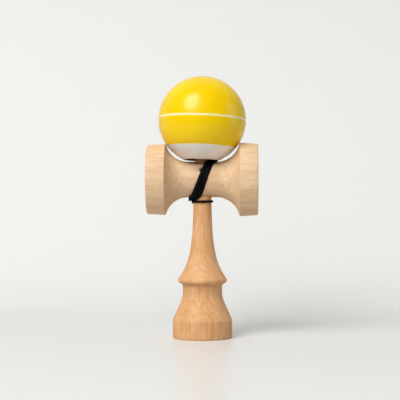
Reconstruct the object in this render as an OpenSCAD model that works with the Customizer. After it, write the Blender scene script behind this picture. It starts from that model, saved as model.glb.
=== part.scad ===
// Kendama: a turned handle with a spike and a base cup, a crosspiece with two cups pressed on its taper,
// and a lacquered ball that stands on the crosspiece with the spike in its bore. One black string runs from
// the crosspiece, in slanted turns round its waist and one turn round the neck, over the back of the ball
// to a bead inside it. Millimetres, +Z up, origin under the handle's axis on the surface it stands on.

/* [Ball] */
// Diameter of the ball
ball_d = 60; // [56:0.5:66]
// Lean of the ball towards the big cup, in degrees
ball_lean = 2; // [0:0.1:3]
// Lean of the ball towards the back, in degrees
ball_tilt = 2.6; // [0:0.1:3]
// Diameter of the bore that takes the spike
bore_d = 21; // [18:0.5:24]
// Width of the bevel round the mouth of the bore
bore_bevel = 1.5; // [0.8:0.1:2]
// Height of the cone at the end of the bore
bore_cone_h = 3.6; // [2:0.1:5]
// Diameter of the small hole that lets the string out at the top
ball_hole_d = 3.5; // [2.5:0.1:5]
// Diameter of the countersink round that hole
ball_sink_d = 9; // [6:0.1:10]
// Depth of that countersink
ball_sink_depth = 4; // [2:0.1:4.2]

/* [Crosspiece] */
// Length from the rim of one cup to the rim of the other
cross_len = 76.6; // [72:0.2:90]
// Height of its axis above the surface that the handle stands on
cross_height = 109.3; // [95:0.1:125]
// Diameter of the waist
waist_d = 24; // [21:0.5:27]
// Length of the straight part of the waist
waist_len = 18.8; // [14:0.2:21]
// Radius of the flare from the waist to each ridge
flare_r = 16.2; // [15:0.1:17.5]
// Diameter of the ridge behind the big cup
big_ridge_d = 50.8; // [47:0.2:54]
// Step from that ridge in to the outer edge of the big cup's rim
big_rim_step = 0.7; // [0:0.1:1.5]
// Width of the big cup's rim
big_rim_w = 2.7; // [2:0.1:5]
// Depth of the big cup
big_cup_depth = 10.5; // [6:0.1:11]
// How much smaller the ridge behind the small cup is
small_ridge_less = 1.8; // [0:0.2:6]
// Step from that ridge in to the outer edge of the small cup's rim
small_rim_step = 0.5; // [0:0.1:1.5]
// Width of the small cup's rim
small_rim_w = 3.5; // [2:0.1:5]
// Depth of the small cup
small_cup_depth = 9; // [5:0.1:10]
// Rounding of the ridges
ridge_round = 0.6; // [0.3:0.1:1]
// Rounding of the rims' outer edges
rim_round = 1; // [0.5:0.1:1.5]
// Diameter of the string hole in the waist
cross_hole_d = 3; // [2.4:0.1:3.4]
// Diameter of the countersink round the string hole
cross_sink_d = 5.2; // [4.6:0.1:6]
// Depth of that countersink
cross_sink_depth = 1.6; // [1.2:0.1:2]
// Angle of the string hole from the top of the waist towards the front, in degrees
cross_hole_angle = 56; // [50:1:60]

/* [Handle] */
// Diameter of the foot
foot_d = 41; // [39:0.5:46]
// Height of the foot's straight side
foot_h = 12.6; // [8:0.1:14]
// Rounding of the foot's lower edge
foot_round = 0.9; // [0.4:0.1:1.2]
// Rounding of the shoulder above the foot
shoulder_round = 2; // [0.5:0.1:4]
// Inner diameter of the base cup at its rim
base_cup_d = 35.2; // [30:0.2:35.4]
// Depth of the base cup
base_cup_depth = 7; // [5:0.1:9]
// Diameter of the grip at its narrowest
grip_d = 27.2; // [24:0.2:29]
// Height of that narrowest place
grip_height = 32; // [29:0.1:38]
// Radius of the cove that rises from the foot to the grip
foot_cove_r = 19.5; // [14:0.5:24]
// Slope of the cone between the foot and that cove, in degrees off upright
foot_slope = 25.2; // [20:0.1:30]
// Diameter of the collar
collar_d = 33.8; // [31:0.2:37]
// Rounding of the collar
collar_round = 2.9; // [1.5:0.1:4]
// Radius of the cove under the collar
collar_cove_r = 8; // [6:0.5:12]
// Slope at which the stem leaves the collar, in degrees off upright
stem_slope = 35; // [20:1:45]
// Rise in which the stem above the collar loses two thirds of its extra width
stem_fall = 13.8; // [8:0.1:20]
// Diameter of the neck under the crosspiece
neck_d = 13; // [11.6:0.2:14]
// Diameter of the spike above the crosspiece
spike_d = 10.1; // [9:0.1:10.8]
// Diameter of the spike where its point begins
point_d = 8.4; // [6:0.1:8.8]
// Length of the point
point_len = 11; // [6:0.5:16]
// Diameter of the blunt tip
tip_d = 3; // [2:0.1:4]

/* [Bead and knots] */
// Diameter of the bead
bead_d = 8.4; // [7:0.1:10]
// Height of the bead
bead_h = 5; // [4:0.1:6]
// Rounding of the bead's edges
bead_round = 1.2; // [0.5:0.1:1.8]
// Diameter of the hole through the bead
bead_hole_d = 2.2; // [2:0.1:3]
// Wood left between the bead's pocket and the top of the ball
bead_roof = 5.2; // [4.6:0.1:7]
// Diameter of the knots
knot_d = 3.6; // [3.5:0.1:4]

/* [String] */
// Diameter of the string
string_d = 1.5; // [1.2:0.1:1.7]
// Free space between neighbouring strands of the band, along the crosspiece
lane_gap = 0.75; // [0.7:0.05:0.9]
// Free space between strands that lie on each other, and between those beside the neck
layer_gap = 0.55; // [0.5:0.05:0.8]
// Place of the band's first strand at the height of the crosspiece's axis, from the handle's axis
band_x = -2.75; // [-4:0.05:-2]
// Slant of the band, as its way along the crosspiece for each millimetre of height
band_slant = 0.41; // [0.3:0.01:0.5]
// Radius of the string's centre line where it bends out of the string hole
string_bend_r = 3; // [2.5:0.1:3.5]

/* [Fits] */
// Gap between the ball and the ridges that it stands on
seat_gap = 0.3; // [0.2:0.05:0.6]
// Gap between the taper and its hole in the crosspiece
taper_gap = 0.05; // [0.02:0.01:0.1]
// Gap round the bead and round the handle's knot
bead_gap = 0.3; // [0.2:0.05:0.5]
// Gap between the tip of the spike and the knot under the bead
tip_gap = 2.5; // [1.5:0.1:5]
// Gap between the string and the wood that it lies on
lay_gap = 0.25; // [0.2:0.01:0.3]
// Gap between the innermost turn and the neck
neck_gap = 0.3; // [0.25:0.05:0.5]
// Gap between the two stretches of string
join_gap = 0.05; // [0.02:0.01:0.1]

/* [Hidden] */
$fn = 96;

// One overrun for every cut
cut_over = 2;
// Steps of an arc in an outline, and of the stem, which bunch up towards the collar
arc_steps = 8;
stem_steps = 14;
stem_bunching = 1.6;

ball_r = ball_d / 2;
bore_r = bore_d / 2;
mouth_r = bore_r + bore_bevel;
small_ridge_d = big_ridge_d - small_ridge_less;
big_rim_d = big_ridge_d - 2 * big_rim_step;
big_cup_d = big_rim_d - 2 * big_rim_w;
small_rim_d = small_ridge_d - 2 * small_rim_step;
small_cup_d = small_rim_d - 2 * small_rim_w;
waist_r = waist_d / 2;
waist_half = waist_len / 2;
cross_half = cross_len / 2;
neck_r = neck_d / 2;
spike_r = spike_d / 2;
grip_r = grip_d / 2;
string_r = string_d / 2;
knot_r = knot_d / 2;

// Outlines are lists of [radius, height] points, and arc angles count from the outward radius up.
// An arc that carries on from the last point leaves its own first point out.
function arc(mid, r, from, to, first = 0) =
    [for (i = [first : arc_steps]) let (a = from + (to - from) * i / arc_steps) mid + r * [cos(a), sin(a)]];

// Each flare of the crosspiece ends where it meets its rounded ridge
flare_mid = [waist_r + flare_r, waist_half];
function flare_turn(ridge_d) = acos((flare_mid[0] - ridge_d / 2 + ridge_round) / flare_r);
function ridge_mid(ridge_d) =
    [ridge_d / 2 - ridge_round, flare_mid[1] + flare_r * sin(flare_turn(ridge_d)) + ridge_round];

// Heights in the ball, from its centre along its own axis, start with the mouth of the bore
mouth_height = -sqrt(pow(ball_r, 2) - pow(mouth_r, 2));

// The ball stands between the two ridges, or a small one on the string over the waist.
// Places here are [along the crosspiece, above its axis].
function ridge_place(ridge_d, side) = [side * ridge_mid(ridge_d)[1], ridge_mid(ridge_d)[0]];
ridge_span = ridge_place(big_ridge_d, 1) - ridge_place(small_ridge_d, -1);
seat_reach = ball_r + seat_gap + ridge_round;
seat_rise = sqrt(max(0, pow(seat_reach, 2) - pow(norm(ridge_span) / 2, 2)));
ridge_seat = (ridge_place(big_ridge_d, 1) + ridge_place(small_ridge_d, -1)) / 2
    + seat_rise * [-ridge_span[1], ridge_span[0]] / norm(ridge_span);
// The tilt brings the back of the mouth down, half of that where the string passes under its edge.
mouth_drop = mouth_r * sin(ball_tilt) / 2;
string_seat = waist_r + lay_gap + string_d + lay_gap + mouth_drop - mouth_height;
ball_mid = [ridge_seat[0], 0, cross_height + max(ridge_seat[1], string_seat)];

// The bead's pocket, and the bead in it
pocket_r = bead_d / 2 + bead_gap;
pocket_top = ball_r - bead_roof;
bead_top = pocket_top - bead_gap;
bead_bottom = bead_top - bead_h;
bore_top = bead_bottom - bore_cone_h;
ball_axis = [sin(ball_lean) * cos(ball_tilt), sin(ball_tilt), cos(ball_lean) * cos(ball_tilt)];
function ball_point(t) = ball_mid + t * ball_axis;

// A knot has a flat, a little wider than the string, where the string runs into it
knot_flat_share = 0.5;
knot_flat = knot_r * sqrt(1 - pow(knot_flat_share, 2));

// The taper fills the crosspiece from its underside to its top, and the spike ends short of the bead's knot
taper_low = cross_height - waist_r;
taper_high = cross_height + waist_r;
taper_slope = (spike_r - neck_r) / waist_d;
taper_mid_r = (spike_r + neck_r) / 2;
tip_height = ball_mid[2] + bead_bottom - knot_flat - knot_r - tip_gap;

// The handle's knot lies flush with the taper, in line with the string hole
knot_place = taper_mid_r / (sin(cross_hole_angle) - taper_slope * cos(cross_hole_angle)) - knot_r;

// The collar's arcs meet without a corner, and the stem starts on its upper side
collar_turn = acos(1 - (collar_d - grip_d) / 2 / (collar_cove_r + collar_round));
collar_mid = [collar_d / 2 - collar_round, grip_height + (collar_cove_r + collar_round) * sin(collar_turn)];
stem_start = collar_mid + collar_round * [cos(stem_slope), sin(stem_slope)];
stem_rise = taper_low - stem_start[1];
stem_rest = exp(-stem_rise / stem_fall);
function stem_point(share) =
    let (width = (exp(-share * stem_rise / stem_fall) - stem_rest) / (1 - stem_rest))
    [neck_r + (stem_start[0] - neck_r) * width, stem_start[1] + share * stem_rise];
function point_point(share) =
    [point_d / 2 - (point_d - tip_d) / 2 * pow(share, 2), tip_height - point_len * (1 - share)];

function ken_outline() = concat(
    [[0, 0]],
    arc([foot_d / 2 - foot_round, foot_round], foot_round, -90, 0),
    arc([foot_d / 2 - shoulder_round, foot_h], shoulder_round, 0, foot_slope),
    arc([grip_r + foot_cove_r, grip_height], foot_cove_r, 180 + foot_slope, 180),
    arc([grip_r + collar_cove_r, grip_height], collar_cove_r, 180, 180 - collar_turn, 1),
    arc(collar_mid, collar_round, -collar_turn, stem_slope, 1),
    [for (i = [1 : stem_steps]) stem_point(pow(i / stem_steps, stem_bunching))],
    [[spike_r, taper_high]],
    [for (i = [0 : arc_steps]) point_point(i / arc_steps)],
    [[0, tip_height]]
);

// Half of the crosspiece, from the waist to the middle of a cup's end
function cup_outline(ridge_d, rim_d) = concat(
    arc(flare_mid, flare_r, 180, 180 - flare_turn(ridge_d)),
    arc(ridge_mid(ridge_d), ridge_round, -90, 0, 1),
    arc([rim_d / 2 - rim_round, cross_half - rim_round], rim_round, 0, 90),
    [[0, cross_half]]
);
function mirrored(outline) = [for (i = [len(outline) - 1 : -1 : 0]) [outline[i][0], -outline[i][1]]];

function bead_outline() = concat(
    [[bead_hole_d / 2, bead_bottom]],
    arc([bead_d / 2 - bead_round, bead_bottom + bead_round], bead_round, -90, 0),
    arc([bead_d / 2 - bead_round, bead_top - bead_round], bead_round, 0, 90),
    [[bead_hole_d / 2, bead_top]]
);

// The bore, its cone, the bead's pocket and the string hole, with the bevel carried on past the mouth
function bore_outline() = [
    [0, -ball_r - cut_over],
    [mouth_r + mouth_height + ball_r + cut_over, -ball_r - cut_over],
    [bore_r, mouth_height + bore_bevel],
    [bore_r, bore_top],
    [pocket_r, bead_bottom],
    [pocket_r, pocket_top],
    [ball_hole_d / 2, pocket_top],
    [ball_hole_d / 2, ball_r],
    [0, ball_r],
];

// Route of the string's free stretch from the neck up behind the crosspiece and over the back of the ball
string_route = [
    [-5, 8, 92.4], [-4, 11, 93.5], [-3, 14, 95.8], [-2.5, 16.4, 99], [-2, 17.8, 102.8], [-2, 18.6, 106.8],
    [-2, 19.5, 111], [-2, 20.4, 115.2], [-2, 21.5, 119.4], [-2, 22.9, 123.6], [-2, 24.5, 127.8], [-2, 26, 132],
    [-2.5, 27.5, 136], [-3, 29, 140], [-3.5, 30.2, 144], [-4, 30.7, 148], [-4.5, 30.8, 152], [-5, 30.4, 156],
    [-5.5, 29.4, 160], [-5.8, 27.9, 163.7], [-6, 26.2, 167], [-6, 23.5, 170.6], [-5.8, 20.9, 173.5],
    [-5.6, 18, 175.9], [-5.3, 14.8, 178], [-5, 11.6, 179.6], [-4.5, 8.4, 180.8], [-3.6, 6, 181.5],
    [-2.6, 4.6, 181.8], [-1.5, 3.4, 181.6], [-0.4, 2.4, 180.9], [0.4, 1.7, 179.7],
];

// A loop of the winding has 24 rings of 6 sides, and the free stretch has rings of 8 sides
loop_step = 15;
loop_sides = 6;
free_sides = 8;
// Strands side by side in the band
string_lanes = 3;
// Angles over which the strands swing out beside the spike and the neck, the second one climbs on the first,
// the last one goes under its neighbour, the turn round the neck starts to drop and has dropped, and the
// string leaves the neck
top_angle = 60;
bottom_angle = 50;
climb_angle = 44;
under_angle = 50;
drop_start = 250;
drop_angle = 110;
leave_angle = 20;

lane_step = string_d + lane_gap;
layer_step = string_d + layer_gap;
lay_r = waist_r + string_r + lay_gap;
neck_lane = neck_r + string_r + neck_gap;
// How far the strands swing out of the straight band, on top and underneath
top_swing = spike_r + string_r + lay_gap - band_x - band_slant * lay_r;
bottom_swing = -neck_lane - layer_step - band_x + band_slant * lay_r;

function ease(t) = let (u = max(0, min(1, t))) u * u * (3 - 2 * u);
function waist_at(x) =
    abs(x) < waist_half ? waist_r : flare_mid[0] - sqrt(pow(flare_r, 2) - pow(abs(x) - waist_half, 2));

// Angles of the turns count from the top of the waist over the front. The first strand comes out of the
// string hole, the second rides over it on the front, and each later one lies beside the last. Beside the
// neck they lie two by two, the last one under its neighbour.
function first_lane(a) =
    let (off_top = min(a, 360 - a))
    band_x + band_slant * lay_r * cos(a)
        + top_swing * ease(1 - off_top / top_angle)
        + bottom_swing * ease(1 - (180 - off_top) / bottom_angle);
function step_at(a) =
    let (off_top = min(a, 360 - a))
    lane_step
        + (layer_step - lane_step) * ease(1 - 2 * off_top / top_angle)
        + (layer_step - lane_step) * ease(1 - (180 - off_top) / bottom_angle);
function fan_out(a) = 90 * ease((a - 180) / 180);
function go_under(turn, a) = turn == string_lanes ? 90 * ease(1 - (180 - a) / under_angle) : 0;
function lane_shift(turn, a) =
    turn == 0 ? 0 : step_at(a) * (turn - 2 + sin(fan_out(a)) + cos(go_under(turn, a)));
function ride(turn, a) =
    turn == 1 ? layer_step * ease(a / climb_angle) * cos(fan_out(a)) : layer_step * sin(go_under(turn, a));
function lane_x(angle) =
    let (turn = floor(angle / 360), a = angle - 360 * turn)
    first_lane(a) + lane_shift(turn, a);
function on_waist(angle, r) = [lane_x(angle), -r * sin(angle), cross_height + r * cos(angle)];
function turn_point(angle) =
    let (turn = floor(angle / 360), a = angle - 360 * turn)
    on_waist(angle, waist_at(lane_x(angle)) + string_r + lay_gap + ride(turn, a));

// Out of the string hole and over its edge
hole_x = lane_x(cross_hole_angle);
function hole_point(s) =
    [hole_x, -s * sin(cross_hole_angle), cross_height + s * cos(cross_hole_angle)];
function bend_angle(u) = cross_hole_angle + string_bend_r * (1 - cos(u)) / lay_r * 180 / PI;
function bend_point(u) = on_waist(bend_angle(u), lay_r - string_bend_r * (1 - sin(u)));

// Round the neck, under the string's own way there, and off it to the back
neck_top = cross_height - lay_r - layer_step;
function neck_point(b) =
    [-neck_lane * cos(b), neck_lane * sin(b), neck_top - layer_step * ease((b - drop_start) / drop_angle)];
leave_way = [sin(leave_angle), cos(leave_angle), 0];
leave_start = neck_point(360 + leave_angle);
leave_end = leave_start + 2 * string_d * leave_way;

turns_start = bend_angle(90);
turns_end = 360 * string_lanes + 180;
turns_steps = round((turns_end - turns_start) / loop_step);
winding_path = concat(
    [hole_point(knot_place + knot_flat), hole_point(knot_place + knot_flat + string_d)],
    [for (u = [0 : loop_step : 90]) bend_point(u)],
    [for (i = [1 : turns_steps]) turn_point(turns_start + (turns_end - turns_start) * i / turns_steps)],
    [for (b = [loop_step : loop_step : 360 + leave_angle - 1]) neck_point(b)],
    [leave_start, leave_start + string_d * leave_way, leave_end]
);
free_path = concat(
    [leave_end + join_gap * leave_way, leave_end + string_d * leave_way],
    string_route,
    [for (t = [ball_r - ball_sink_depth + string_r, pocket_top, bead_bottom + string_d, bead_bottom]) ball_point(t)]
);

// Least gap of the winding to itself, strands at least half a loop apart
function off_segment(p, a, b) =
    let (t = max(0, min(1, (p - a) * (b - a) / ((b - a) * (b - a))))) norm(p - a - t * (b - a));
half_loop = 180 / loop_step;
least_gap = min([
    for (i = [0 : len(winding_path) - half_loop - 2])
        for (j = [i + half_loop : len(winding_path) - 2])
            off_segment(winding_path[i], winding_path[j], winding_path[j + 1])
]) - string_d;
echo(str("Least gap of the winding to itself: ", least_gap, " mm"));

// A round tube swept along a path, with square ends
function unit(v) = v / norm(v);
function heading(path, i) = unit(path[min(i + 1, len(path) - 1)] - path[max(i - 1, 0)]);
function squared(v, way) = unit(v - (v * way) * way);
function ring_starts(path) = [
    for (i = 0, u = squared([0, 0, 1], heading(path, 0));
         i < len(path);
         i = i + 1, u = squared(u, heading(path, min(i, len(path) - 1))))
    u
];
function ring(mid, way, start, r, sides) =
    let (side = cross(way, start))
    [for (k = [0 : sides - 1]) mid + r * (cos(360 * k / sides) * start + sin(360 * k / sides) * side)];

module tube(path, r, sides) {
    starts = ring_starts(path);
    last = (len(path) - 1) * sides;
    points = [for (i = [0 : len(path) - 1]) each ring(path[i], heading(path, i), starts[i], r, sides)];
    walls = [
        for (i = [0 : len(path) - 2])
            for (k = [0 : sides - 1])
                let (a = i * sides + k, b = i * sides + (k + 1) % sides)
                each [[a, a + sides, b + sides], [a, b + sides, b]]
    ];
    caps = [
        for (k = [1 : sides - 2])
            each [[0, k, k + 1], [last, last + k + 1, last + k]]
    ];
    polyhedron(points, concat(walls, caps));
}

// Puts its children on the ball's centre, along the ball's leaning axis
module in_ball() {
    translate(ball_mid)
        rotate([-ball_tilt, ball_lean, 0])
            children();
}

// Puts its children on the crosspiece's axis, with +Z out through the string hole
module along_string_hole() {
    translate([hole_x, 0, cross_height])
        rotate([cross_hole_angle, 0, 0])
            children();
}

// A spherical dish cut up into a face at height 0
module dish(mouth_d, depth) {
    dish_r = (pow(mouth_d / 2, 2) + pow(depth, 2)) / (2 * depth);
    translate([0, 0, depth - dish_r])
        sphere(r = dish_r);
}

// A countersink cut down from height 0
module sink(hole_d, mouth_d, depth) {
    widening = (mouth_d - hole_d) / depth;
    translate([0, 0, -depth])
        cylinder(d1 = hole_d, d2 = mouth_d + widening * cut_over, h = depth + cut_over);
}

// A knot round the origin, with its flat towards +Z
module knot() {
    difference() {
        sphere(r = knot_r);
        translate([0, 0, knot_flat])
            cylinder(r = knot_r, h = knot_r);
    }
}

module ken() {
    color("#c98d52")
        difference() {
            rotate_extrude()
                polygon(ken_outline());
            dish(base_cup_d, base_cup_depth);
            along_string_hole()
                translate([0, 0, knot_place - knot_r - bead_gap])
                    cylinder(r = knot_r + bead_gap, h = knot_d + cut_over);
        }
}

module sarado() {
    color("#dcb482")
        difference() {
            translate([0, 0, cross_height])
                rotate([0, 90, 0])
                    rotate_extrude()
                        polygon(concat(
                            mirrored(cup_outline(small_ridge_d, small_rim_d)),
                            cup_outline(big_ridge_d, big_rim_d)
                        ));
            translate([cross_half, 0, cross_height])
                rotate([0, -90, 0])
                    dish(big_cup_d, big_cup_depth);
            translate([-cross_half, 0, cross_height])
                rotate([0, 90, 0])
                    dish(small_cup_d, small_cup_depth);
            translate([0, 0, taper_low - cut_over])
                cylinder(
                    r1 = neck_r + taper_gap - taper_slope * cut_over,
                    r2 = spike_r + taper_gap + taper_slope * cut_over,
                    h = waist_d + 2 * cut_over
                );
            along_string_hole() {
                cylinder(d = cross_hole_d, h = waist_r + cut_over);
                translate([0, 0, waist_r])
                    sink(cross_hole_d, cross_sink_d, cross_sink_depth);
            }
        }
}

module tama() {
    color("#f5d400")
        in_ball()
            difference() {
                sphere(r = ball_r);
                rotate_extrude()
                    polygon(bore_outline());
                translate([0, 0, ball_r])
                    sink(ball_hole_d, ball_sink_d, ball_sink_depth);
            }
}

module bead() {
    color("#e8d9c0")
        in_ball()
            rotate_extrude()
                polygon(bead_outline());
}

module bead_knot() {
    color("#1b1b1d")
        in_ball()
            translate([0, 0, bead_bottom - knot_flat])
                knot();
}

module ken_knot() {
    color("#1b1b1d")
        along_string_hole()
            translate([0, 0, knot_place])
                knot();
}

module string_winding() {
    color("#1b1b1d")
        tube(winding_path, string_r, loop_sides);
}

module string_over_ball() {
    color("#1b1b1d")
        tube(free_path, string_r, free_sides);
}

ken();
sarado();
tama();
bead();
bead_knot();
ken_knot();
string_winding();
string_over_ball();
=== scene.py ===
from math import acos, asin, ceil, cos, degrees, exp, pi, radians, sin, sqrt

import bpy
from mathutils import Matrix, Vector


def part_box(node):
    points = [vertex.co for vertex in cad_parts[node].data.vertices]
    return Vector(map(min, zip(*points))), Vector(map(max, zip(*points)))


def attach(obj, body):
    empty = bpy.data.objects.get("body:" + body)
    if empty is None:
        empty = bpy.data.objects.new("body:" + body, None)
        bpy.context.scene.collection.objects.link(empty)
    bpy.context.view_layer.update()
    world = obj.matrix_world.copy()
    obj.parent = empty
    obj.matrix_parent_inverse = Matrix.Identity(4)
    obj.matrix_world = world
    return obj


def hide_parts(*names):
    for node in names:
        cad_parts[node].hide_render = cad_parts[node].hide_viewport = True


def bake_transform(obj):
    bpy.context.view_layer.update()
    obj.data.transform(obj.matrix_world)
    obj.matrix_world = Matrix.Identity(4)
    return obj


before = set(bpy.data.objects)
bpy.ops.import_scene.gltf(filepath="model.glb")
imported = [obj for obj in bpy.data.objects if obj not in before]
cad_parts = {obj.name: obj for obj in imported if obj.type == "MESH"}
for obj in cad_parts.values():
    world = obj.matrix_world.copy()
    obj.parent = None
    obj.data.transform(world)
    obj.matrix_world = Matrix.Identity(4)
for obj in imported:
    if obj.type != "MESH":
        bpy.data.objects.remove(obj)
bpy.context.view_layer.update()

# Ken: the handle, turned from one piece of beech with the grain upright and sanded smooth.
# Its foot has a dished base cup, and the tapered seat above the neck is pressed into the crosspiece.
mm = 0.001


def arc(mid, r, start, end, steps=20):
    """Points of an arc in an outline of (radius, height), by angles from the outward radius up."""
    turns = [radians(start + (end - start) * i / steps) for i in range(steps + 1)]
    return [(mid[0] + r * cos(a), mid[1] + r * sin(a)) for a in turns]


def dish(mouth_r, depth, rim_height, way, steps=28):
    """Points of a spherical dish from its rim to its middle, which lies depth away from the rim."""
    dish_r = (mouth_r ** 2 + depth ** 2) / (2 * depth)
    reach = asin(mouth_r / dish_r)
    turns = [reach * (1 - i / steps) for i in range(steps + 1)]
    return [(dish_r * sin(a), rim_height + way * (depth - dish_r + dish_r * cos(a))) for a in turns]


def lathe(name, outline, place=Matrix(), segments=160, sharp=32):
    """A turned piece: an outline of (radius, height) spun round its axis, shaded smooth but at corners."""
    mesh = bpy.data.meshes.new(name)
    points, rings = [], []
    for r, height in outline:
        count = segments if r > 1e-7 else 1
        rings.append(range(len(points), len(points) + count))
        turns = [2 * pi * k / segments for k in range(count)]
        points += [place @ Vector((r * cos(a), r * sin(a), height)) for a in turns]
    faces = []
    for low, high in zip(rings, rings[1:]):
        for k in range(segments):
            after = k + 1
            corners = [low[k % len(low)], low[after % len(low)], high[after % len(high)], high[k % len(high)]]
            corners = list(dict.fromkeys(corners))
            if len(corners) > 2:
                faces.append(corners)
    mesh.from_pydata(points, [], faces)
    mesh.shade_smooth()
    mesh.set_sharp_from_angle(angle=radians(sharp))
    piece = bpy.data.objects.new(name, mesh)
    bpy.context.collection.objects.link(piece)
    return piece


ken_foot_r = 20.5 * mm
ken_foot_h = 12 * mm
ken_foot_round = 0.9 * mm
ken_shoulder_round = 2 * mm
ken_cup_r = 17.6 * mm
ken_cup_depth = 7 * mm
ken_grip_r = 13.6 * mm
ken_grip_height = 32 * mm
ken_foot_cove_r = 19.5 * mm
ken_foot_slope = 25.2
ken_collar_r = 16.9 * mm
ken_collar_round = 2.2 * mm
ken_collar_cove_r = 2.5 * mm
ken_collar_height = 39.8 * mm
ken_stem_slope = 35
ken_stem_fall = 13.8 * mm
ken_neck_r = 6.2 * mm
ken_spike_r = 5.05 * mm
ken_point_r = 4.2 * mm
ken_point_len = 11 * mm
ken_tip_r = 1.5 * mm
cross_height = 109.3 * mm
waist_r = 12.3 * mm

tip_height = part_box("ken")[1][2]
collar_turn = degrees(acos(1 - (ken_collar_r - ken_grip_r) / (ken_collar_cove_r + ken_collar_round)))
grip_top = ken_collar_height - (ken_collar_cove_r + ken_collar_round) * sin(radians(collar_turn))
collar_mid = (ken_collar_r - ken_collar_round, ken_collar_height)
stem_start_r = collar_mid[0] + ken_collar_round * cos(radians(ken_stem_slope))
stem_start = collar_mid[1] + ken_collar_round * sin(radians(ken_stem_slope))
stem_rise = cross_height - waist_r - stem_start
stem_rest = exp(-stem_rise / ken_stem_fall)


def stem_point(share):
    width = (exp(-share * stem_rise / ken_stem_fall) - stem_rest) / (1 - stem_rest)
    return ken_neck_r + (stem_start_r - ken_neck_r) * width, stem_start + share * stem_rise


def spike_point(share):
    return ken_point_r - (ken_point_r - ken_tip_r) * share ** 2, tip_height - ken_point_len * (1 - share)


ken_outline = dish(ken_cup_r, ken_cup_depth, 0, 1)[::-1]
ken_outline += arc((ken_foot_r - ken_foot_round, ken_foot_round), ken_foot_round, -90, 0, 6)
ken_outline += arc((ken_foot_r - ken_shoulder_round, ken_foot_h), ken_shoulder_round, 0, ken_foot_slope, 8)
foot_cove_mid = (ken_grip_r + ken_foot_cove_r, ken_grip_height)
ken_outline += arc(foot_cove_mid, ken_foot_cove_r, 180 + ken_foot_slope, 180)
ken_outline += arc((ken_grip_r + ken_collar_cove_r, grip_top), ken_collar_cove_r, 180, 180 - collar_turn)
ken_outline += arc(collar_mid, ken_collar_round, -collar_turn, ken_stem_slope)[1:]
stem_steps = 40
stem_crowding = 1.6
ken_outline += [stem_point((i / stem_steps) ** stem_crowding) for i in range(1, stem_steps + 1)]
ken_outline += [(ken_spike_r, cross_height + waist_r)]
ken_outline += [spike_point(i / 16) for i in range(17)]
ken_outline += [(0, tip_height)]
ken = lathe("ken_turned", ken_outline)


def paint(code):
    """A colour from its sRGB hex code, as linear light."""
    parts = [int(code[i:i + 2], 16) / 255 for i in (1, 3, 5)]
    return [c / 12.92 if c <= 0.04045 else ((c + 0.055) / 1.055) ** 2.4 for c in parts] + [1]


def add(tree, kind, inputs, output=0, **settings):
    """Adds a node with its settings, fills or links its inputs, and gives back one of its outputs."""
    node = tree.nodes.new(kind)
    for name, value in settings.items():
        setattr(node, name, value)
    for socket, value in inputs.items():
        if isinstance(value, bpy.types.NodeSocket):
            tree.links.new(value, node.inputs[socket])
        else:
            node.inputs[socket].default_value = value
    return node.outputs[output]


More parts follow.
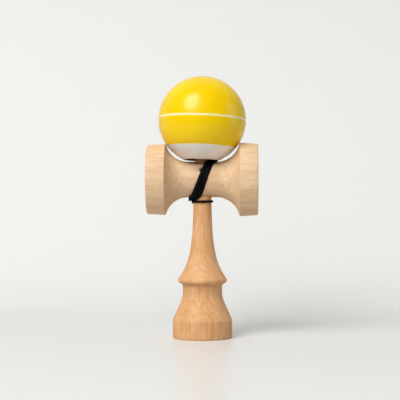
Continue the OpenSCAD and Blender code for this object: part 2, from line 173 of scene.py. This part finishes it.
def beech(name, grain_turn, pith, pale, deep, pore, figure):
    """Sanded beech: the eye sees a warm silky tan with fine streaks along the grain, short dark ray flecks,
    and only a hint of growth rings that arch with the turned form. Lengths in the nodes are millimetres."""
    ring_mm = 2.3
    ring_wander_mm = 7
    ring_lean = 0.1
    streak_share = 0.8
    fibre_share = 0.45
    cloud_share = 0.5
    fleck_share = 0.6
    material = bpy.data.materials.new(name)
    material.use_nodes = True
    tree = material.node_tree
    shader = tree.nodes["Principled BSDF"]
    place = add(tree, "ShaderNodeTexCoord", {}, "Object")
    in_mm = (1 / mm, 1 / mm, 1 / mm)
    grain = add(tree, "ShaderNodeMapping", {"Vector": place, "Rotation": grain_turn, "Scale": in_mm})

    # Patterns drawn out along the grain: (width across it, length along it) in millimetres
    sizes = {"wander": (10, 36), "streak": (1.1, 22), "fibre": (0.3, 6), "cloud": (8, 18),
             "fleck": (0.75, 3.4)}
    drawn = {}
    for pattern, (across, along) in sizes.items():
        drawn[pattern] = add(tree, "ShaderNodeVectorMath", {0: grain, 1: (1 / across, 1 / across, 1 / along)},
                             operation="MULTIPLY")
    streak = add(tree, "ShaderNodeTexNoise", {"Vector": drawn["streak"], "Scale": 1, "Detail": 3})
    fibre = add(tree, "ShaderNodeTexNoise", {"Vector": drawn["fibre"], "Scale": 1, "Detail": 3})
    cloud = add(tree, "ShaderNodeTexNoise", {"Vector": drawn["cloud"], "Scale": 1, "Detail": 1})
    wander = add(tree, "ShaderNodeTexNoise", {"Vector": drawn["wander"], "Scale": 1, "Detail": 2})

    from_pith = add(tree, "ShaderNodeVectorMath", {0: grain, 1: pith}, operation="SUBTRACT")
    flat = add(tree, "ShaderNodeVectorMath", {0: from_pith, 1: (1, 1, ring_lean)}, operation="MULTIPLY")
    reach = add(tree, "ShaderNodeVectorMath", {0: flat}, "Value", operation="LENGTH")
    reach = add(tree, "ShaderNodeMath", {0: wander, 1: ring_wander_mm, 2: reach}, operation="MULTIPLY_ADD")
    turns = add(tree, "ShaderNodeMath", {0: reach, 1: 2 * pi / ring_mm}, operation="MULTIPLY")
    ring = add(tree, "ShaderNodeMath", {0: turns}, operation="SINE")

    cells = add(tree, "ShaderNodeTexVoronoi", {"Vector": drawn["fleck"], "Scale": 1}, "Distance")
    chance = add(tree, "ShaderNodeSeparateColor", {0: cells.node.outputs["Color"]})
    chance = add(tree, "ShaderNodeMapRange", {0: chance, 1: 0.32, 2: 0.68}, interpolation_type="SMOOTHSTEP")
    fleck = add(tree, "ShaderNodeMapRange", {0: cells, 1: 0.32, 2: 0.1}, interpolation_type="SMOOTHSTEP")
    fleck = add(tree, "ShaderNodeMath", {0: fleck, 1: chance}, operation="MULTIPLY")

    tone = add(tree, "ShaderNodeMath", {0: streak, 1: streak_share}, operation="MULTIPLY")
    tone = add(tree, "ShaderNodeMath", {0: ring, 1: figure, 2: tone}, operation="MULTIPLY_ADD")
    tone = add(tree, "ShaderNodeMath", {0: fibre, 1: fibre_share, 2: tone}, operation="MULTIPLY_ADD")
    tone = add(tree, "ShaderNodeMath", {0: cloud, 1: cloud_share, 2: tone}, operation="MULTIPLY_ADD")
    tone = add(tree, "ShaderNodeMapRange", {0: tone, 1: 0.5, 2: 1.25}, interpolation_type="SMOOTHSTEP")
    wood = add(tree, "ShaderNodeMix", {0: tone, 6: paint(pale), 7: paint(deep)}, 2, data_type="RGBA")
    dark = add(tree, "ShaderNodeMath", {0: fleck, 1: fleck_share}, operation="MULTIPLY")
    wood = add(tree, "ShaderNodeMix", {0: dark, 6: wood, 7: paint(pore)}, 2, data_type="RGBA")
    tree.links.new(wood, shader.inputs["Base Color"])
    rough = add(tree, "ShaderNodeMapRange", {0: fibre, 1: 0.2, 2: 0.8, 3: 0.5, 4: 0.62})
    tree.links.new(rough, shader.inputs["Roughness"])
    shader.inputs["Specular IOR Level"].default_value = 0.35
    relief = add(tree, "ShaderNodeMath", {0: fleck, 1: -0.5, 2: fibre}, operation="MULTIPLY_ADD")
    bump = add(tree, "ShaderNodeBump", {"Height": relief, "Strength": 0.25, "Distance": 0.05 * mm})
    tree.links.new(bump, shader.inputs["Normal"])
    return material


ken_pith = (9, 24, 52)
ken_beech = beech("beech_of_the_handle", (0, 0, 0), ken_pith, "#ecbb8a", "#d59a60", "#85502a", figure=0.07)
ken.data.materials.append(ken_beech)
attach(ken, "handle")
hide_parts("ken")


# Sarado: the crosspiece, turned from paler beech with the grain along it and a shallow cup in each end.
# It is drilled for the handle's taper, which holds it by friction, and for the string.
cross_half = 38.3 * mm
waist_half = 9.8 * mm
flare_r = 16.2 * mm
ridge_round = 0.6 * mm
rim_round = 1 * mm
big_ridge_r = 25.4 * mm
big_rim_r = 24.7 * mm
big_cup_r = 22 * mm
big_cup_depth = 10.5 * mm
small_ridge_r = 24.5 * mm
small_rim_r = 24 * mm
small_cup_r = 20.5 * mm
small_cup_depth = 9 * mm
taper_gap = 0.05 * mm
flare_mid = (waist_r + flare_r, waist_half)


def cup_outline(ridge_r, rim_r, cup_r, depth):
    """Half of the crosspiece, from the waist over the ridge and the rim to the middle of the cup."""
    turn = acos((flare_mid[0] - ridge_r + ridge_round) / flare_r)
    ridge_mid = (ridge_r - ridge_round, flare_mid[1] + flare_r * sin(turn) + ridge_round)
    points = arc(flare_mid, flare_r, 180, 180 - degrees(turn), 32)
    points += arc(ridge_mid, ridge_round, -90, 0, 6)[1:]
    points += arc((rim_r - rim_round, cross_half - rim_round), rim_round, 0, 90, 8)
    return points + dish(cup_r, depth, cross_half, -1)


def drill(piece, *cutters):
    """Cuts turned cutters out of a piece and deletes them."""
    for cutter in cutters:
        cut = piece.modifiers.new("drill", "BOOLEAN")
        cut.object = cutter
        cut.solver = "EXACT"
    mesh = bpy.data.meshes.new_from_object(piece.evaluated_get(bpy.context.evaluated_depsgraph_get()))
    piece.modifiers.clear()
    piece.data = mesh
    for cutter in cutters:
        bpy.data.objects.remove(cutter)


along_cross = Matrix.Translation((0, 0, cross_height)) @ Matrix.Rotation(pi / 2, 4, "Y")
small_half = cup_outline(small_ridge_r, small_rim_r, small_cup_r, small_cup_depth)
big_half = cup_outline(big_ridge_r, big_rim_r, big_cup_r, big_cup_depth)
sarado_outline = [(r, -height) for r, height in reversed(small_half)] + big_half
sarado = lathe("sarado_turned", sarado_outline, along_cross)
lying_grain = (0, -pi / 2, 0)
sarado_pith = (-104, 22, 4)
sarado_beech = beech("beech_of_the_crosspiece", lying_grain, sarado_pith, "#f0d2ac", "#e0b58b", "#b48659",
                     figure=0.08)
sarado.data.materials.append(sarado_beech)
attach(sarado, "handle")
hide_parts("sarado")


# Bead: a small turned wooden bead inside the ball, which stops the string's knot.
# The ball's own axis leans a little towards the big cup and to the back, and the bead and the ball share it.
# The dressed ball is a little fuller than its solid and sits a little lower, pressed on the string.
lacquer_coat = 0.3 * mm
ball_r = 30 * mm + lacquer_coat
ball_lean = 2
ball_tilt = 2.6
ball_seat = Vector((-0.189 * mm, 0, 151.068 * mm))
ball_settle = 0.6 * mm
bead_r = 4.2 * mm
bead_round = 1.2 * mm
bead_hole_r = 1.1 * mm
bead_bottom = 19.5 * mm
bead_top = 24.5 * mm
lean_turn = Matrix.Rotation(radians(ball_lean), 4, "Y") @ Matrix.Rotation(radians(-ball_tilt), 4, "X")
in_ball = Matrix.Translation(ball_seat) @ lean_turn @ Matrix.Translation((0, 0, -ball_settle))
ball_mid = in_ball.translation
bead_outline = [(bead_hole_r, bead_bottom)]
bead_outline += arc((bead_r - bead_round, bead_bottom + bead_round), bead_round, -90, 0, 10)
bead_outline += arc((bead_r - bead_round, bead_top - bead_round), bead_round, 0, 90, 10)
bead_outline += [(bead_hole_r, bead_top), (bead_hole_r, bead_bottom)]
bead = lathe("bead_turned", bead_outline, in_ball, 64)
bead_pith = (5, 9, 140)
bead_beech = beech("beech_of_the_bead", (0, 0, 0), bead_pith, "#e8d4b4", "#d2b48c", "#9a744c", figure=0.1)
bead.data.materials.append(bead_beech)
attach(bead, "bead")
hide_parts("bead")


# Tama: the ball, turned wood under gloss lacquer, sprayed white, then yellow down to the white cap.
# A pale stripe runs round its middle, and its bore is unlacquered wood, coloured a deep brown as painted
# shade.
# A countersunk hole on top lets the string out.
bore_r = 10.5 * mm
bore_bevel = 1.5 * mm
bore_cone_h = 3.6 * mm
pocket_r = 4.5 * mm
pocket_top = 24.8 * mm
hole_r = 1.75 * mm
sink_r = 4.5 * mm
sink_depth = 4 * mm
mouth_r = bore_r + bore_bevel
mouth_height = -sqrt(ball_r ** 2 - mouth_r ** 2)
sink_top = sqrt(ball_r ** 2 - sink_r ** 2)
tama_outline = arc((0, 0), ball_r, degrees(asin(mouth_height / ball_r)), degrees(asin(sink_top / ball_r)), 96)
tama_outline += [(hole_r, sink_top - sink_depth), (hole_r, pocket_top)]
tama_outline += [(pocket_r, pocket_top), (pocket_r, bead_bottom), (bore_r, bead_bottom - bore_cone_h)]
tama_outline += [(bore_r, mouth_height + bore_bevel), (mouth_r, mouth_height)]
tama = lathe("tama_turned", tama_outline, in_ball)


def lacquer():
    """Gloss lacquer, sprayed over turned wood: the eye sees clean bands of strong colour with soft edges and
    one broad highlight; the unlacquered wood inside the bore and the holes is coloured a deep brown as
    painted shade."""
    drift_mm = 50 / 3
    turning_mm = 10 / 9
    stripe_mid = 0.45 * mm
    stripe_half = 0.72 * mm
    cap_top = -18.75 * mm
    edge = 0.12 * mm
    skin = 0.15 * mm
    material = bpy.data.materials.new("gloss_lacquer")
    material.use_nodes = True
    tree = material.node_tree
    shader = tree.nodes["Principled BSDF"]
    place = add(tree, "ShaderNodeTexCoord", {}, "Object")
    from_mid = add(tree, "ShaderNodeVectorMath", {0: place, 1: ball_mid}, operation="SUBTRACT")
    axis = in_ball.to_3x3() @ Vector((0, 0, 1))
    height = add(tree, "ShaderNodeVectorMath", {0: from_mid, 1: axis}, "Value", operation="DOT_PRODUCT")
    reach = add(tree, "ShaderNodeVectorMath", {0: from_mid}, "Value", operation="LENGTH")

    drift = add(tree, "ShaderNodeTexNoise", {"Vector": place, "Scale": 1 / (drift_mm * mm), "Detail": 2})
    drift = add(tree, "ShaderNodeMapRange", {0: drift, 1: 0.35, 2: 0.65})
    yellows = {0: drift, 6: paint("#ffd600"), 7: paint("#fccf00")}
    coat = add(tree, "ShaderNodeMix", yellows, 2, data_type="RGBA")
    off_stripe = add(tree, "ShaderNodeMath", {0: height, 1: stripe_mid}, operation="SUBTRACT")
    off_stripe = add(tree, "ShaderNodeMath", {0: off_stripe}, operation="ABSOLUTE")
    stripe = add(tree, "ShaderNodeMapRange", {0: off_stripe, 1: stripe_half + edge, 2: stripe_half - edge})
    coat = add(tree, "ShaderNodeMix", {0: stripe, 6: coat, 7: paint("#fff0b4")}, 2, data_type="RGBA")
    cap = add(tree, "ShaderNodeMapRange", {0: height, 1: cap_top + edge, 2: cap_top - edge})
    coat = add(tree, "ShaderNodeMix", {0: cap, 6: coat, 7: paint("#f7f0e6")}, 2, data_type="RGBA")
    # Inside the bore and the holes the unlacquered wood is coloured a deep brown: painted shade of the
    # recess.
    bore_wood_painted_shade = add(tree, "ShaderNodeMapRange", {0: reach, 1: ball_r - skin + edge, 2: ball_r - skin - edge})
    colour = add(tree, "ShaderNodeMix", {0: bore_wood_painted_shade, 6: coat, 7: paint("#5a3c24")}, 2, data_type="RGBA")
    tree.links.new(colour, shader.inputs["Base Color"])

    lines = add(tree, "ShaderNodeMath", {0: height, 1: 1 / (turning_mm * mm)}, operation="MULTIPLY")
    turned = add(tree, "ShaderNodeTexNoise", {"W": lines, "Scale": 1, "Detail": 2}, noise_dimensions="1D")
    bump = add(tree, "ShaderNodeBump", {"Height": turned, "Strength": 0.05, "Distance": 0.05 * mm})
    tree.links.new(bump, shader.inputs["Normal"])
    shader.inputs["Roughness"].default_value = 0.22
    shader.inputs["Specular IOR Level"].default_value = 0.33
    return material


tama.data.materials.append(lacquer())
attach(tama, "ball")
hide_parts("tama")


# String: one black braided cord, drawn as its winding on the handle and its free stretch over the ball.
# It comes out of the crosspiece's string hole, winds aslant over the waist and once round the neck, and then
# runs up behind the crosspiece and over the ball's back into the top hole, to its knot under the bead.
string_d = 1.5 * mm
lane_count = 3
top_step = 1.92 * mm
low_step = 2.5 * mm
near_step = 1.8 * mm
lay_gap = 0.05 * mm
band_x = -1.8 * mm
band_slant = 0.41
string_bend_r = 3.8 * mm
hole_angle = 56
leave_angle = 20
leave_fall = 0.2
lay_r = waist_r + 0.5 * mm
neck_lane = ken_neck_r + 0.95 * mm
spike_room = 1 * mm
round_width = 1.75 * mm
pressed_more = 0.6 * mm
neck_width = 1.7 * mm
neck_draw = 0.2 * mm
under_waist = 0.42 * mm
top_swing = ken_spike_r + spike_room - band_x - band_slant * lay_r
bottom_swing = -neck_lane - near_step - band_x + band_slant * lay_r


def ease(t):
    u = max(0, min(1, t))
    return u * u * (3 - 2 * u)


def waist_at(x):
    over = max(0, abs(x) - waist_half)
    return flare_mid[0] - sqrt(flare_r ** 2 - over ** 2)


def near_ends(a, top_angle, bottom_angle=50):
    """How far a turn is into its swing beside the spike on top, and beside the neck underneath."""
    off_top = min(a, 360 - a)
    return ease(1 - off_top / top_angle), ease(1 - (180 - off_top) / bottom_angle)


def fan_out(a):
    return pi / 2 * ease((a - 180) / 180)


def go_under(turn, a):
    return pi / 2 * ease(1 - (180 - a) / 50) if turn == lane_count else 0


def lane_x(angle):
    """Place of the winding along the crosspiece, by the angle it has turned from the top over the front."""
    turn, a = divmod(angle, 360)
    top, bottom = near_ends(a, 46)
    first = band_x + band_slant * lay_r * cos(radians(a)) + top_swing * top + bottom_swing * bottom
    front_step = top_step + (low_step - top_step) * ease((a - 60) / 80)
    step = front_step + (near_step - front_step) * sum(near_ends(a, 30, 36))
    return first + (0 if turn == 0 else step * (turn - 2 + sin(fan_out(a)) + cos(go_under(turn, a))))


def on_waist(angle, r):
    a = radians(angle)
    return Vector((lane_x(angle), -r * sin(a), cross_height + r * cos(a)))


def waist_out(angle):
    return Vector((0, -sin(radians(angle)), cos(radians(angle))))


def flat_width(a):
    """The soft cord lies pressed flat on the front of the waist, and is rounder elsewhere."""
    return round_width + pressed_more * ease((a - 15) / 35) * (1 - ease((a - 150) / 30))


def turn_ring(angle):
    turn, a = divmod(angle, 360)
    under = go_under(turn, a)
    width = flat_width(a)
    thick = string_d ** 2 / width
    ride = near_step * sin(under)
    if turn == 1:
        ride = (thick + lay_gap) * ease(a / 44) * cos(fan_out(a))
    point = on_waist(angle, waist_at(lane_x(angle)) + thick / 2 + lay_gap + ride)
    neck_out = Vector((point.x, point.y, 0)).normalized()
    return point, waist_out(angle) * cos(under) + neck_out * sin(under), width


def bend_ring(u):
    angle = hole_angle + degrees(string_bend_r * (1 - cos(radians(u))) / lay_r)
    point = on_waist(angle, lay_r - string_bend_r * (1 - sin(radians(u))))
    out = waist_out(hole_angle + 90 - u)
    return point, out, string_d + (flat_width(angle) - string_d) * ease(u / 90)


def neck_ring(b):
    """A ring of the turn round the neck, which sags a little more as it goes round."""
    r = neck_lane - neck_draw * ease(b / 90)
    out = Vector((-cos(radians(b)), sin(radians(b)), 0))
    back_sag = 0.65 * mm * ease((b - 60) / 120)
    front_sag = 0.12 * mm * ease(1 - abs(b - 270) / 80)
    last_sag = 0.75 * mm * ease((b - 325) / 50)
    height = cross_height - waist_r - under_waist - near_step - back_sag - front_sag - last_sag
    return r * out + Vector((0, 0, height)), out, neck_width


knot_r = 1.8 * mm
knot_face = 6.452 * mm
turns_start = hole_angle + degrees(string_bend_r / lay_r)
turns_end = 360 * lane_count + 180
turn_steps = round((turns_end - turns_start) / 6)
hole_x = lane_x(hole_angle)
hole_way = waist_out(hole_angle)
hole_start = Vector((hole_x, 0, cross_height)) + knot_face * hole_way
leave_way = Vector((sin(radians(leave_angle)), cos(radians(leave_angle)), -leave_fall)).normalized()
leave_start, leave_out, leave_width = neck_ring(360 + leave_angle)
turn_share = (turns_end - turns_start) / turn_steps
up_hole = waist_out(hole_angle + 90)
winding_rings = [(hole_start + share * string_d * hole_way, up_hole, string_d) for share in (0, 1)]
winding_rings += [bend_ring(u) for u in range(0, 91, 10)]
winding_rings += [turn_ring(turns_start + turn_share * i) for i in range(1, turn_steps + 1)]
winding_rings += [neck_ring(b) for b in range(6, 360 + leave_angle, 6)]
winding_rings += [(leave_start + share * string_d * leave_way, leave_out, string_d) for share in (0, 1, 2)]

string_route = [
    (-5, 8, 92.4), (-4, 11, 93.5), (-3, 14, 95.8), (-2.5, 16.4, 99), (-2, 17.8, 102.8), (-2, 18.6, 106.8),
    (-2, 19.5, 111), (-2, 20.4, 115.2), (-2, 21.5, 119.4), (-2, 22.9, 123.6), (-2, 24.5, 127.8),
    (-2, 26, 132), (-2.5, 27.5, 136), (-3, 29, 140), (-3.5, 30.2, 144), (-4, 30.7, 148), (-4.5, 30.8, 152),
    (-5, 30.4, 156), (-5.5, 29.4, 160), (-5.8, 27.9, 163.7), (-6, 26.2, 167), (-6, 23.5, 170.6),
    (-5.8, 20.9, 173.5), (-5.6, 18, 175.9), (-5.3, 14.8, 178), (-5, 11.6, 179.6), (-4.5, 8.4, 180.8),
    (-3.6, 6, 181.5), (-2.6, 4.6, 181.8), (-1.5, 3.4, 181.6), (-0.4, 2.4, 180.9), (0.4, 1.7, 179.7),
]


def drawn_in(point):
    """A point of the route, drawn in until the string lies on the ball and dips into its countersink."""
    off_ball = point - ball_mid
    lying = ball_r + 0.55 * mm
    dip_depth = 1.6 * mm
    pull = max(0, off_ball.length - lying) * ease((lying + 3 * mm - off_ball.length) / (2 * mm))
    from_axis = (lean_turn.inverted() @ off_ball).xy.length
    dip = dip_depth * ease((sink_r - from_axis) / (0.6 * sink_r)) if off_ball.z > 0 else 0
    return point - (pull + dip) * off_ball.normalized()


free_path = [leave_start + (2 * string_d + lay_gap) * leave_way, leave_start + 3 * string_d * leave_way]
free_path += [drawn_in(Vector(point) * mm) for point in string_route]
into_hole = 26.75 * mm
down_hole = (into_hole, pocket_top, bead_bottom + string_d, bead_bottom)
free_path += [in_ball @ Vector((0, 0, height)) for height in down_hole]


def smooth_path(path, step):
    """The path again, on a smooth curve through its points, with a point about every step."""
    ends = [2 * path[0] - path[1]] + path + [2 * path[-1] - path[-2]]
    fine = []
    for a, b, c, d in zip(ends, ends[1:], ends[2:], ends[3:]):
        count = max(1, ceil((c - b).length / step))
        for i in range(count):
            t = i / count
            fine.append(b + (c - a) * t / 2 + (2 * a - 5 * b + 4 * c - d) * t * t / 2
                        + (3 * b - a - 3 * c + d) * t ** 3 / 2)
    return fine + [path[-1]]


def cord_tube(name, rings, sides=12):
    """A cord that lies on what carries it, from rings of (middle, way out of the surface, width).
    Pressed wider, it is thinner by as much. The UVs run along the cord in millimetres and round it."""
    mesh = bpy.data.meshes.new(name)
    path = [point for point, out, width in rings]
    points, runs = [], [0]
    for a, b in zip(path, path[1:]):
        runs.append(runs[-1] + (b - a).length)
    for i, (point, out, width) in enumerate(rings):
        way = (path[min(i + 1, len(path) - 1)] - path[max(i - 1, 0)]).normalized()
        out = (out - out.dot(way) * way).normalized()
        across = way.cross(out) * width / 2
        thick = out * string_d ** 2 / width / 2
        turns = [2 * pi * k / sides for k in range(sides)]
        points += [point + across * cos(a) + thick * sin(a) for a in turns]
    faces = []
    for i in range(len(path) - 1):
        for k in range(sides):
            a, b = i * sides + k, i * sides + (k + 1) % sides
            faces.append((a, b, b + sides, a + sides))
    last = (len(path) - 1) * sides
    faces += [tuple(reversed(range(sides))), tuple(range(last, last + sides))]
    mesh.from_pydata(points, [], faces)
    layer = mesh.uv_layers.new(name="along_and_round")
    for polygon in mesh.polygons:
        around = [mesh.loops[i].vertex_index % sides for i in polygon.loop_indices]
        for i, k in zip(polygon.loop_indices, around):
            ring = mesh.loops[i].vertex_index // sides
            wrap = sides if k == 0 and max(around) == sides - 1 else 0
            layer.data[i].uv = (runs[ring] / mm, (k + wrap) / sides)
    mesh.shade_smooth()
    piece = bpy.data.objects.new(name, mesh)
    bpy.context.collection.objects.link(piece)
    return piece


def braid():
    """Black braided nylon: the eye sees near black with a fine herringbone, faintly shiny on its crests; its
    grooves get painted shade.
    """
    plait_mm = 1.1
    strands = 8
    material = bpy.data.materials.new("black_braided_nylon")
    material.use_nodes = True
    tree = material.node_tree
    shader = tree.nodes["Principled BSDF"]
    uv = add(tree, "ShaderNodeUVMap", {}, uv_map="along_and_round")
    along = add(tree, "ShaderNodeSeparateXYZ", {0: uv})
    turn = along.node.outputs[1]
    round_cord = add(tree, "ShaderNodeMath", {0: turn, 1: pi * strands}, operation="MULTIPLY")
    plait = []
    for hand in (1, -1):
        lean = add(tree, "ShaderNodeMath", {0: round_cord, 1: hand}, operation="MULTIPLY")
        per_plait = 2 * pi / plait_mm
        wave = add(tree, "ShaderNodeMath", {0: along, 1: per_plait, 2: lean}, operation="MULTIPLY_ADD")
        plait.append(add(tree, "ShaderNodeMath", {0: wave}, operation="SINE"))
    crest = add(tree, "ShaderNodeMath", {0: plait[0], 1: plait[1]}, operation="MAXIMUM")
    crest = add(tree, "ShaderNodeMapRange", {0: crest, 1: -0.2, 2: 1}, interpolation_type="SMOOTHSTEP")
    # The grooves between the plaits are coloured darker than the crests: painted shade.
    blacks_with_groove_shade = {0: crest, 6: paint("#030304"), 7: paint("#0d0d0f")}
    colour = add(tree, "ShaderNodeMix", blacks_with_groove_shade, 2, data_type="RGBA")
    tree.links.new(colour, shader.inputs["Base Color"])
    shader.inputs["Roughness"].default_value = 0.7
    shader.inputs["Specular IOR Level"].default_value = 0.12
    bump = add(tree, "ShaderNodeBump", {"Height": crest, "Strength": 0.5, "Distance": 0.12 * mm})
    tree.links.new(bump, shader.inputs["Normal"])
    return material


black_braid = braid()
winding = cord_tube("string_wound", winding_rings)
winding.data.materials.append(black_braid)
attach(winding, "handle")
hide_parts("string_winding")

fine_free_path = smooth_path(free_path, 1 * mm)


def free_ring(point):
    """A ring of the free stretch, pressed flat where it lies on the ball."""
    off_ball = point - ball_mid
    near = 34 * mm
    inside = 29 * mm
    on_ball = ease((near - off_ball.length) / (2 * mm)) * ease((off_ball.length - inside) / mm)
    return point, off_ball.normalized(), string_d + pressed_more * on_ball


free_string = cord_tube("string_free", [free_ring(point) for point in fine_free_path])
free_string.data.materials.append(black_braid)
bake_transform(free_string)
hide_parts("string_over_ball")


# Knots: the string's two ends, each an overhand knot pulled tight.
# One lies behind the string hole and holds the string to the handle, and one lies under the bead.
knot_depth = 1.56 * mm


def overhand(name, place, body, node):
    steps = 72
    loops = 1.6
    rise = 1.1
    spread = 3.9
    size = knot_r / spread
    path = []
    for t in [2 * pi * i / steps for i in range(steps + 1)]:
        turn = Vector((sin(t) + loops * sin(2 * t), cos(t) - loops * cos(2 * t), -rise * sin(3 * t)))
        path.append(place @ (size * turn))
    knot = cord_tube(name, [(p, (p - place.translation).normalized(), string_d) for p in path], 10)
    knot.data.materials.append(black_braid)
    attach(knot, body)
    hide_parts(node)
    return knot


hole_turn = Matrix.Rotation(radians(hole_angle), 4, "X")
ken_knot_place = Matrix.Translation(hole_start - knot_depth * hole_way) @ hole_turn
ken_knot = overhand("knot_of_the_handle", ken_knot_place, "handle", "ken_knot")
bead_knot_place = in_ball @ Matrix.Translation((0, 0, bead_bottom - knot_depth))
bead_knot = overhand("knot_under_the_bead", bead_knot_place, "bead", "bead_knot")


# Drilling: the crosspiece is bored for the handle's taper and drilled for the string.
# The handle has a dimple for its knot, and the string leans to one side of its wider hole.
taper_slope = (ken_spike_r - ken_neck_r) / (2 * waist_r)
over = 2 * mm
taper_low = cross_height - waist_r - over
taper_high = cross_height + waist_r + over
taper = lathe("taper_cutter", [(0, taper_low), (ken_neck_r + taper_gap - over * taper_slope, taper_low),
                               (ken_spike_r + taper_gap + over * taper_slope, taper_high), (0, taper_high)])
along_hole = Matrix.Translation((hole_x, 0, cross_height)) @ hole_turn
cross_hole_r = 1.9 * mm
cross_sink_r = 2.7 * mm
cross_sink_depth = 1.2 * mm
string_to_one_side = 0.9 * mm
sink_slope = (cross_sink_r - cross_hole_r) / cross_sink_depth
hole_bottom = 3 * mm
hole_outline = [(0, hole_bottom), (cross_hole_r, hole_bottom), (cross_hole_r, waist_r - cross_sink_depth),
                (cross_sink_r + over * sink_slope, waist_r + over), (0, waist_r + over)]
beside_string = Matrix.Translation((-string_to_one_side, 0, 0)) @ along_hole
string_hole = lathe("string_hole_cutter", hole_outline, beside_string, 48)
drill(sarado, taper, string_hole)
dimple_r = 2.1 * mm
dimple_floor = knot_face - knot_depth - dimple_r
dimple_top = 9 * mm
dimple_outline = [(0, dimple_floor), (dimple_r, dimple_floor), (dimple_r, dimple_top), (0, dimple_top)]
drill(ken, lathe("dimple_cutter", dimple_outline, along_hole, 48))


# Stage: a white sweep of card that curves from the floor up behind the toy, with a soft gloss on the floor.
# The camera sees the card paler than the toy does, and sees through it from behind.
def sweep():
    front_edge = -0.6
    depth = 0.52
    height = 2.4
    half = 2.6
    curve_r = 0.4
    gloss_height = 0.03
    floor_gloss = 0.28
    glow_share = 0.05
    bends = arc((depth - curve_r, curve_r), curve_r, -90, 0, 24)
    line = [(front_edge, 0)] + bends + [(depth, height)]
    mesh = bpy.data.meshes.new("sweep")
    points = [(x, y, z) for y, z in line for x in (-half, half)]
    mesh.from_pydata(points, [], [(i, i + 1, i + 3, i + 2) for i in range(0, len(points) - 2, 2)])
    mesh.shade_smooth()
    card = bpy.data.objects.new("sweep", mesh)
    bpy.context.collection.objects.link(card)
    material = bpy.data.materials.new("white_card")
    material.use_nodes = True
    tree = material.node_tree
    shader = tree.nodes["Principled BSDF"]
    shader.inputs["Roughness"].default_value = 0.3
    place = add(tree, "ShaderNodeTexCoord", {}, "Object")
    rise = add(tree, "ShaderNodeSeparateXYZ", {0: place}, 2)
    fade = {0: rise, 1: 0, 2: gloss_height, 3: floor_gloss, 4: 0}
    gloss = add(tree, "ShaderNodeMapRange", fade, interpolation_type="SMOOTHSTEP")
    tree.links.new(gloss, shader.inputs["Specular IOR Level"])
    seen = add(tree, "ShaderNodeLightPath", {}, "Is Camera Ray")
    whites = {0: seen, 6: paint("#cfcfcd"), 7: paint("#eeeeeb")}
    card_colour = add(tree, "ShaderNodeMix", whites, 2, data_type="RGBA")
    tree.links.new(card_colour, shader.inputs["Base Color"])
    seen = add(tree, "ShaderNodeMath", {0: seen, 1: glow_share}, operation="MULTIPLY")
    glow = add(tree, "ShaderNodeEmission", {"Color": paint("#f0f0ed"), "Strength": 1})
    both = add(tree, "ShaderNodeMixShader", {0: seen, 1: shader.outputs[0], 2: glow})
    behind = add(tree, "ShaderNodeNewGeometry", {}, "Backfacing")
    clear = add(tree, "ShaderNodeBsdfTransparent", {})
    shown = add(tree, "ShaderNodeMixShader", {0: behind, 1: both, 2: clear})
    tree.links.new(shown, tree.nodes["Material Output"].inputs["Surface"])
    card.data.materials.append(material)


sweep()


# Light: a large softbox high on the left in front, a weaker one lower in front that gives no highlight
# and a weak one on the right, in a room that is pale at the back and nearly white to the camera.
def softbox(name, way, distance, size, power):
    light = bpy.data.lights.new(name, "AREA")
    light.shape = "ELLIPSE"
    light.size, light.size_y = size
    light.energy = power
    lamp = bpy.data.objects.new(name, light)
    lamp.location = ball_mid + distance * Vector(way)
    lamp.rotation_euler = (-Vector(way)).to_track_quat("-Z", "Y").to_euler()
    bpy.context.collection.objects.link(lamp)
    return lamp


softbox("key_softbox", (-0.395, -0.609, 0.689), 2.4, size=(1.45, 1.95), power=54.5)
front = softbox("front_softbox", (-0.18, -0.88, 0.43), 2.4, size=(1.4, 1.4), power=11)
front.visible_glossy = False
softbox("fill_softbox", (0.9, -0.05, 0.2), 1.2, size=(0.6, 0.9), power=1.8)
world = bpy.data.worlds.new("pale_room")
world.use_nodes = True
room = world.node_tree
way = add(room, "ShaderNodeTexCoord", {}, "Generated")
to_back = add(room, "ShaderNodeSeparateXYZ", {0: way}, 1)
front_strength = 0.08
back_strength = 0.24
seen_strength = 0.85
to_pale = {0: to_back, 1: -0.6, 2: 0.6, 3: front_strength, 4: back_strength}
pale = add(room, "ShaderNodeMapRange", to_pale, interpolation_type="SMOOTHSTEP")
direct = add(room, "ShaderNodeLightPath", {}, "Is Camera Ray")
bright = add(room, "ShaderNodeMix", {0: direct, 2: pale, 3: seen_strength}, data_type="FLOAT")
room.links.new(bright, room.nodes["Background"].inputs["Strength"])
room.nodes["Background"].inputs["Color"].default_value = paint("#f4f4f2")
bpy.context.scene.world = world
bpy.context.scene.view_settings.view_transform = "Standard"


# Camera: at the height of the neck, a little to the right, with a long lens.
lens = bpy.data.cameras.new("camera")
lens.lens = 102.7
lens.sensor_width = 36
camera = bpy.data.objects.new("camera", lens)
camera.location = (0.022, -0.79, 0.091)
camera.rotation_euler = (radians(90.3), 0, radians(1.72))
bpy.context.collection.objects.link(camera)
bpy.context.scene.camera = camera
